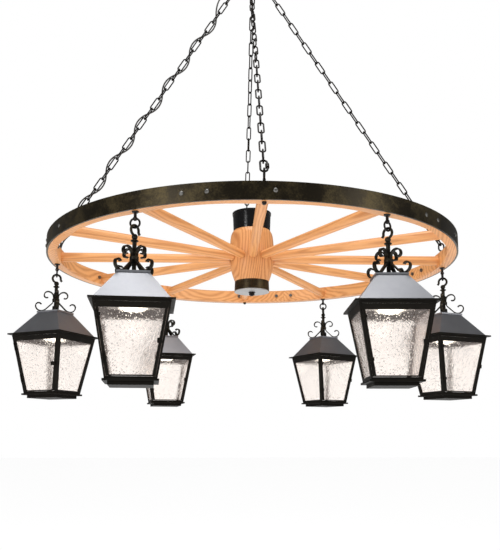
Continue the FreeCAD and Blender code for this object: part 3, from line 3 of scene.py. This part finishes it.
import bpy
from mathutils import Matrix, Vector


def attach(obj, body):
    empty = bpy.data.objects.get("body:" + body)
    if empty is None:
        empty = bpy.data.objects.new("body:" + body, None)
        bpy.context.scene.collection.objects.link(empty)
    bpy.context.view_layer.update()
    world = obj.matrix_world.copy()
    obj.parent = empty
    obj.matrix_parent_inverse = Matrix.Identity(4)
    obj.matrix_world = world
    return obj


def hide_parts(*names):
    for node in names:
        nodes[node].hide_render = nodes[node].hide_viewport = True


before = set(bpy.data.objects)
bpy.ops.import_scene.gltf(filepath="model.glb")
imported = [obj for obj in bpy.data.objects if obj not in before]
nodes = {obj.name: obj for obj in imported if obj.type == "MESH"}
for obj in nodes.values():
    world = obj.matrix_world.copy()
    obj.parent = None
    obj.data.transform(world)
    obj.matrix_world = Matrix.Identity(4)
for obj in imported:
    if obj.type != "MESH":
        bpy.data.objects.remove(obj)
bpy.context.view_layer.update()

# ---------------------------------------------------------------- studio
# The camera stands a little left of the fitting's axis and just below the lanterns' trays, and
# looks up by eight degrees.  All round it is white.
PICTURE_HIGH = 550.0
FOCAL_PIXELS = 697.1
camera_data = bpy.data.cameras.new("camera")
camera_data.sensor_width = 36.0
camera_data.lens = FOCAL_PIXELS / PICTURE_HIGH * camera_data.sensor_width
camera_data.shift_x = 0.0056
camera_data.shift_y = 0.1105
camera = bpy.data.objects.new("camera", camera_data)
camera.location = (-0.1239, -2.6147, -2.0484)
camera.rotation_euler = (math.radians(98.24), 0.0, math.radians(-2.30))
bpy.context.collection.objects.link(camera)
bpy.context.scene.camera = camera
bpy.context.scene.view_settings.view_transform = "Standard"


class Wire:
    """A value in a node tree.  Arithmetic on it adds the nodes that work it out."""

    def __init__(self, tree, out):
        self.tree = tree
        self.out = out

    def feed(self, socket, value):
        if isinstance(value, Wire):
            self.tree.links.new(value.out, socket)
        else:
            socket.default_value = value

    def node(self, kind, inputs=(), out=0, **settings):
        """Add any other node, fed by (socket name or number, value) pairs."""
        made = self.tree.nodes.new(kind)
        for key, value in settings.items():
            setattr(made, key, value)
        for key, value in inputs:
            self.feed(made.inputs[key], value)
        return Wire(self.tree, made.outputs[out])

    def maths(self, operation, *values):
        return self.node("ShaderNodeMath", enumerate(values), operation=operation)

    def __add__(self, other):
        return self.maths("ADD", self, other)

    def __radd__(self, other):
        return self.maths("ADD", other, self)

    def __sub__(self, other):
        return self.maths("SUBTRACT", self, other)

    def __rsub__(self, other):
        return self.maths("SUBTRACT", other, self)

    def __mul__(self, other):
        return self.maths("MULTIPLY", self, other)

    def __rmul__(self, other):
        return self.maths("MULTIPLY", other, self)

    def __truediv__(self, other):
        return self.maths("DIVIDE", self, other)


def step_up(value, low, high):
    """0 below low, 1 above high and smooth in between."""
    return value.node("ShaderNodeMapRange", [("Value", value), ("From Min", low),
                                             ("From Max", high)],
                      interpolation_type="SMOOTHSTEP")


def point(x, y, z):
    """A vector from three values, of which at least one is a Wire."""
    source = next(v for v in (x, y, z) if isinstance(v, Wire))
    return source.node("ShaderNodeCombineXYZ", [("X", x), ("Y", y), ("Z", z)])


def noise(at, scale, detail=3.0, rough=0.55, bent=0.0):
    return at.node("ShaderNodeTexNoise", [("Vector", at), ("Scale", scale), ("Detail", detail),
                                          ("Roughness", rough), ("Distortion", bent)])


def blend(share, first, second):
    """Colour between two colours, by a share from 0 to 1."""
    return share.node("ShaderNodeMix", [("Factor", share), (6, first), (7, second)], out=2,
                      data_type="RGBA")


def new_material(name):
    """A material, its Principled shader, and the object coordinates at rest."""
    material = bpy.data.materials.new(name)
    material.use_nodes = True
    tree = material.node_tree
    shader = tree.nodes["Principled BSDF"]
    place = Wire(tree, tree.nodes.new("ShaderNodeTexCoord").outputs["Object"])
    return material, shader, place


def dress(shader, place, height=None, depth=0.0005, **values):
    """Feed the shader's sockets, and raise its surface by height times depth."""
    for name, value in values.items():
        place.feed(shader.inputs[name.replace("_", " ")], value)
    if height is not None:
        bump = place.node("ShaderNodeBump", [("Height", height), ("Distance", depth)])
        place.feed(shader.inputs["Normal"], bump)


def paint(material, *names):
    """Give a material to every slot of the named nodes."""
    for name in names:
        for held in nodes[name].material_slots:
            held.link = "OBJECT"
            held.material = material


def axes(place):
    """The x, y and z of a vector."""
    parts = place.tree.nodes.new("ShaderNodeSeparateXYZ")
    place.feed(parts.inputs[0], place)
    return [Wire(place.tree, out) for out in parts.outputs]


# White behind the fitting and through its glass; softer than that as light and in reflections.
MIRROR_LEVEL = 0.11
LIGHT_LEVEL = 0.66
world = bpy.data.worlds.new("studio")
bpy.context.scene.world = world
world.use_nodes = True
path = world.node_tree.nodes.new("ShaderNodeLightPath").outputs
seen = Wire(world.node_tree, path["Is Camera Ray"])
through = Wire(world.node_tree, path["Is Transmission Ray"])
mirrored = Wire(world.node_tree, path["Is Glossy Ray"])
straight = seen.maths("MAXIMUM", seen, through)
level = straight + (1.0 - straight) * (mirrored * MIRROR_LEVEL + (1.0 - mirrored) * LIGHT_LEVEL)
seen.feed(world.node_tree.nodes["Background"].inputs["Strength"], level)
world.node_tree.nodes["Background"].inputs["Color"].default_value = (1.0, 1.0, 1.0, 1.0)

FLOOR_Z = -3.3
FLOOR_HALF = 40.0
floor_mesh = bpy.data.meshes.new("floor")
floor_corners = [(x * FLOOR_HALF, y * FLOOR_HALF, FLOOR_Z)
                 for x, y in ((-1, -1), (1, -1), (1, 1), (-1, 1))]
floor_mesh.from_pydata(floor_corners, [], [(0, 1, 2, 3)])
floor = bpy.data.objects.new("floor", floor_mesh)
bpy.context.collection.objects.link(floor)
floor_material, shader, place = new_material("floor_white")
dress(shader, place, noise(place, 3.0), 0.0005, Base_Color=(0.86, 0.86, 0.86, 1.0),
      Roughness=0.9, Emission_Color=(1.0, 1.0, 1.0, 1.0), Emission_Strength=0.45)
floor_mesh.materials.append(floor_material)


def soft_box(name, spot, aim, wide, high, watts):
    """A rectangular area light at spot, turned to aim."""
    lamp = bpy.data.lights.new(name, "AREA")
    lamp.shape = "RECTANGLE"
    lamp.size = wide
    lamp.size_y = high
    lamp.energy = watts
    holder = bpy.data.objects.new(name, lamp)
    holder.location = spot
    holder.rotation_euler = (Vector(aim) - Vector(spot)).to_track_quat("-Z", "Y").to_euler()
    bpy.context.collection.objects.link(holder)


soft_box("light_above", (0.0, -0.85, 0.9), (0.0, -0.7, -1.4), 1.7, 1.2, 42.0)
soft_box("light_left", (-2.5, -3.0, -1.2), (0.0, 0.0, -1.4), 0.9, 1.6, 34.0)
soft_box("light_right", (3.0, -2.6, -0.9), (0.0, 0.0, -1.4), 1.2, 1.4, 22.0)

# ---------------------------------------------------------------- wooden wheel
# Sawn felloes with straight grain, turned ash spokes and a turned hub, under a clear varnish.
WHEEL_Z = -1.37067
STEP = math.radians(30.0)


def wood(name, grain, tone=0.0):
    """grain turns x, y, z into lengths along and across the fibres and a piece number."""
    material, shader, place = new_material(name)
    x, y, z = axes(place)
    along, across, deep, number = grain(place, x, y, z)
    board = point(along * 1.6 + number * 7.3, across * 9.0 + number * 2.9, deep * 9.0)
    drift = noise(board, 1.0, 2.0, 0.5, 0.3)
    rings = place.maths("SINE", across * 640.0 + deep * 230.0 + drift * 40.0 + number * 1.9)
    fibre = noise(point(along * 14.0, across * 330.0, deep * 330.0), 1.0, 3.0, 0.6)
    late = step_up(rings * 0.34 + fibre * 0.8, 0.12, 0.98)
    shade = noise(point(along * 3.0 + number * 4.1, across * 16.0, deep * 16.0), 1.0, 2.0)
    pale = blend(shade, (0.93, 0.475, 0.195, 1.0), (0.78, 0.325, 0.088, 1.0))
    dark = blend(shade, (0.62, 0.24, 0.064, 1.0), (0.43, 0.145, 0.034, 1.0))
    knots = noise(point(along * 9.0 + number * 3.3, across * 26.0, deep * 26.0), 1.0, 1.0)
    knot = step_up(knots, 0.80, 0.86)
    colour = blend(knot, blend(late * 0.75 + tone, pale, dark), (0.20, 0.075, 0.03, 1.0))
    dress(shader, place, fibre * 0.6 + late * 0.4, 0.0003, Base_Color=colour,
          Roughness=0.42 + fibre * 0.16, Coat_Weight=0.25, Coat_Roughness=0.28)
    return material


def spoke_grain(place, x, y, z):
    reach = place.maths("SQRT", x * x + y * y)
    angle = place.maths("ARCTAN2", y, x)
    number = place.maths("ROUND", angle / STEP)
    beside = angle - number * STEP
    return (reach * place.maths("COSINE", beside), reach * place.maths("SINE", beside),
            z - WHEEL_Z, number)


def felloe_grain(place, x, y, z):
    reach = place.maths("SQRT", x * x + y * y)
    angle = place.maths("ARCTAN2", y, x)
    number = place.maths("FLOOR", (angle - STEP / 2) / (STEP * 2))
    beside = angle - number * (STEP * 2) - STEP * 1.5
    return (reach * place.maths("SINE", beside), reach * place.maths("COSINE", beside),
            z - WHEEL_Z, number)


def hub_grain(place, x, y, z):
    return z - WHEEL_Z, x, y, z * 0.0


paint(wood("wood_spokes", spoke_grain), "spokes")
paint(wood("wood_felloes", felloe_grain, 0.05), "felloes")
paint(wood("wood_hub", hub_grain, 0.28), "hub")


# ---------------------------------------------------------------- ironwork
# Black oxide that is worn olive and brown in patches, as on hot rolled bar.
def iron(name, dark, worn, rough, metal=0.75, scale=26.0, coat=0.0):
    material, shader, place = new_material(name)
    cloud = noise(place, scale, 5.0, 0.65, 0.4)
    speck = noise(place, scale * 16.0, 3.0, 0.6)
    share = step_up(cloud * 0.7 + speck * 0.3, 0.40, 0.68)
    dress(shader, place, cloud * 0.5 + speck * 0.5, 0.0004,
          Base_Color=blend(share, dark, worn), Metallic=metal,
          Roughness=rough + share * 0.14 + speck * 0.08, Coat_Weight=coat)
    return material


tyre_iron = iron("iron_tyre", (0.034, 0.027, 0.017, 1.0), (0.110, 0.084, 0.040, 1.0), 0.27,
                 0.85, 12.0)
black_iron = iron("iron_black", (0.012, 0.011, 0.011, 1.0), (0.045, 0.038, 0.034, 1.0), 0.34)
chain_iron = iron("iron_chain", (0.006, 0.005, 0.005, 1.0), (0.028, 0.023, 0.018, 1.0), 0.36,
                  0.8, 60.0)
scroll_iron = iron("iron_scroll", (0.010, 0.009, 0.007, 1.0), (0.055, 0.045, 0.028, 1.0), 0.33,
                   0.8, 45.0)
paint(tyre_iron, "tyre", "hub_band")
paint(chain_iron, "chains")
paint(black_iron, "master_ring", "chain_eye_bolts", "lantern_posts", "canopy_loop",
      "ceiling_plate", "ceiling_canopy")

# The tyre's bolts and nuts are bare zinc; the tie rod and its nuts are blackened.
bolt_material, shader, place = new_material("bolt_zinc")
x, y, z = axes(place)
outer = step_up(place.maths("SQRT", x * x + y * y), 0.20, 0.22)
cloud = noise(place, 160.0, 3.0)
dress(shader, place, cloud, 0.0001,
      Base_Color=blend(outer, (0.02, 0.018, 0.017, 1.0), (0.17, 0.165, 0.155, 1.0)),
      Metallic=0.8, Roughness=0.34 + cloud * 0.2)
paint(bolt_material, "wheel_bolts")

# Gloss black can with its lid on the hub, around the driver's white case.
can_material, shader, place = new_material("can_gloss")
dress(shader, place, noise(place, 90.0, 3.0), 0.0002, Base_Color=(0.003, 0.003, 0.0035, 1.0),
      Metallic=0.0, Roughness=0.08 + noise(place, 30.0) * 0.12, Coat_Weight=0.6)
paint(can_material, "hub_can")
case_material, shader, place = new_material("driver_white")
dress(shader, place, noise(place, 900.0, 2.0), 0.0001, Base_Color=(0.80, 0.80, 0.77, 1.0),
      Roughness=0.5 + noise(place, 200.0) * 0.1)
paint(case_material, "led_driver")

# Zinc end disc, brushed in circles.
disc_material, shader, place = new_material("zinc_disc")
x, y, z = axes(place)
ring_lines = noise(point(place.maths("SQRT", x * x + y * y) * 900.0, 0.0, 0.0), 1.0, 3.0)
cloud = noise(place, 40.0, 3.0)
dress(shader, place, ring_lines, 0.0001,
      Base_Color=blend(cloud, (0.33, 0.33, 0.33, 1.0), (0.50, 0.50, 0.49, 1.0)),
      Metallic=0.55, Roughness=0.38 + ring_lines * 0.2)
paint(disc_material, "hub_end_disc")

# ---------------------------------------------------------------- lanterns
# Sheet metal with a brushed roof above the eave, painted pale for the sheen it catches, and a
# near black frame below it; seeded glass with a faint painted glow; a warm lamp below the
# carrier plate.
# Heights at rest: the post's ball, the top of the eave plate and the diffuser's upper edge.
BALL_Z = WHEEL_Z - 0.049
EAVE_Z = BALL_Z - 0.2532
LENS_Z = BALL_Z - 0.2622
LANTERN_SPOKES = (0, 2, 4, 6, 8, 10)
sheet_metal, shader, place = new_material("lantern_sheet")
x, y, z = axes(place)
roof = step_up(z, EAVE_Z + 0.0002, EAVE_Z + 0.0010)
brushed = noise(point(x * 420.0, y * 420.0, z * 16.0), 1.0, 3.0, 0.6)
cloud = noise(place, 24.0, 4.0, 0.6)
# Painted sheen: the roof above the eave gets a pale grey metal tone for the light it catches;
# the frame below stays near black.
roof_sheen_tone = blend(cloud, (0.27, 0.275, 0.295, 1.0), (0.35, 0.355, 0.375, 1.0))
frame_tone = blend(cloud, (0.005, 0.0045, 0.004, 1.0), (0.014, 0.012, 0.009, 1.0))
dress(shader, place, brushed * 0.5 + cloud * 0.5, 0.0003,
      Base_Color=blend(roof, frame_tone, roof_sheen_tone), Metallic=0.1 + roof * 0.8,
      Specular_IOR_Level=0.06, Roughness=0.40 - roof * 0.04 + brushed * 0.12 + cloud * 0.06)

glass, shader, place = new_material("glass_seeded")
ripple = noise(place, 34.0, 2.0, 0.5, 0.6)
seeds = place.node("ShaderNodeTexVoronoi", [("Vector", place), ("Scale", 120.0)])
seed = 1.0 - step_up(seeds, 0.10, 0.26)
fine = noise(place, 150.0, 3.0, 0.6)
# Painted glow: the glass gives off a faint warm light of its own, standing in for the lamp's
# light caught in the seeds.
dress(shader, place, ripple * 1.2 + seed * 0.5 + fine * 0.22, 0.0018,
      Base_Color=(0.955, 0.93, 0.905, 1.0), Roughness=0.05 + fine * 0.08, IOR=1.45,
      Transmission_Weight=1.0, Emission_Color=(1.0, 0.78, 0.68, 1.0), Emission_Strength=0.04)

lamp_material, shader, place = new_material("lamp_warm")
x, y, z = axes(place)
glow = 1.0 - step_up(z, LENS_Z - 0.0100, LENS_Z + 0.0001)
dress(shader, place, noise(place, 300.0), 0.0001, Base_Color=(0.85, 0.84, 0.80, 1.0),
      Roughness=0.5, Emission_Color=blend(glow, (0.0, 0.0, 0.0, 1.0), (1.0, 0.93, 0.80, 1.0)),
      Emission_Strength=3.2)

for k in LANTERN_SPOKES:
    paint(black_iron, "ring_%d" % k)
    paint(scroll_iron, "crown_%d" % k)
    paint(sheet_metal, "housing_%d" % k, "door_%d" % k)
    paint(glass, "panes_%d" % k, "door_pane_%d" % k)
    paint(lamp_material, "lamp_%d" % k)

# ---------------------------------------------------------------- supply cord
# A black cord leaves the wheel's rim through a grommet, is woven up the left chain to the
# swivel, and goes on from there into the canopy.
cord_material, shader, place = new_material("cord_black")
dress(shader, place, noise(place, 700.0, 2.0), 0.0002,
      Base_Color=blend(noise(place, 60.0), (0.018, 0.016, 0.015, 1.0), (0.04, 0.036, 0.03, 1.0)),
      Roughness=0.5 + noise(place, 90.0) * 0.1)
CORD_R = 0.003
wheel_route = [
    (-0.736, 0.019, -1.34347), (-0.736, 0.019, -1.32367), (-0.716, 0.012, -1.29067),
    (-0.67034, 0.0, -1.26406), (-0.6765, 0.0, -1.14296), (-0.56439, 0.0, -1.09679),
    (-0.57055, 0.0, -0.9757), (-0.45843, 0.0, -0.92952), (-0.46459, 0.0, -0.80843),
    (-0.35248, 0.0, -0.76226), (-0.35864, 0.0, -0.64117), (-0.24653, 0.0, -0.59499),
    (-0.25268, 0.0, -0.4739), (-0.14057, 0.0, -0.42773), (-0.14673, 0.0, -0.30663),
    (-0.097, 0.011, -0.23467), (-0.055, 0.02, -0.18267), (-0.022, 0.024, -0.14067),
    (0.0, 0.022, -0.117), (0.0, 0.022, -0.0993)]
tail_route = [(0.0, 0.03, -0.0386), (0.0, 0.03, -0.069), (0.0, 0.022, -0.087),
              (0.0, 0.022, -0.0987)]


def cable(name, route, body, node):
    curve = bpy.data.curves.new(name, "CURVE")
    curve.dimensions = "3D"
    spline = curve.splines.new("NURBS")
    spline.points.add(len(route) - 1)
    for held, spot in zip(spline.points, route):
        held.co = (*spot, 1.0)
    spline.order_u = 3
    spline.use_endpoint_u = True
    spline.resolution_u = 16
    curve.bevel_depth = CORD_R
    curve.bevel_resolution = 4
    curve.use_fill_caps = True
    curve.materials.append(cord_material)
    made = bpy.data.objects.new(name, curve)
    bpy.context.collection.objects.link(made)
    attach(made, body)
    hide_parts(node)
    return made


def gland(name, spot, body, node, rise):
    """Moulded rubber ring around the cord, with a rolled edge."""
    profile = [(0.0032, 0.0), (0.0070, 0.0), (0.0070, 0.0022), (0.0062, 0.0030),
               (0.0060, 0.0078), (0.0052, 0.0088), (0.0032, 0.0088)]
    turns = 32
    corners = []
    for n in range(turns):
        angle = 2 * math.pi * n / turns
        corners += [(spot[0] + r * math.cos(angle), spot[1] + r * math.sin(angle),
                     spot[2] + h * rise) for r, h in profile]
    count = len(profile)
    faces = []
    for n in range(turns):
        m = (n + 1) % turns
        for i in range(count):
            j = (i + 1) % count
            face = [n * count + i, m * count + i, m * count + j, n * count + j]
            faces.append(face if rise > 0 else face[::-1])
    mesh = bpy.data.meshes.new(name)
    mesh.from_pydata(corners, [], faces)
    mesh.materials.append(cord_material)
    made = bpy.data.objects.new(name, mesh)
    bpy.context.collection.objects.link(made)
    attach(made, body)
    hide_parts(node)


cable("supply_cable", wheel_route, "wheel", "supply_cord")
cable("canopy_cable", tail_route, "ceiling", "cord_tail")
gland("rim_grommet", wheel_route[0], "wheel", "supply_cord", 1)
gland("canopy_gland", (0.0, 0.03, -0.0502), "ceiling", "cord_tail", -1)
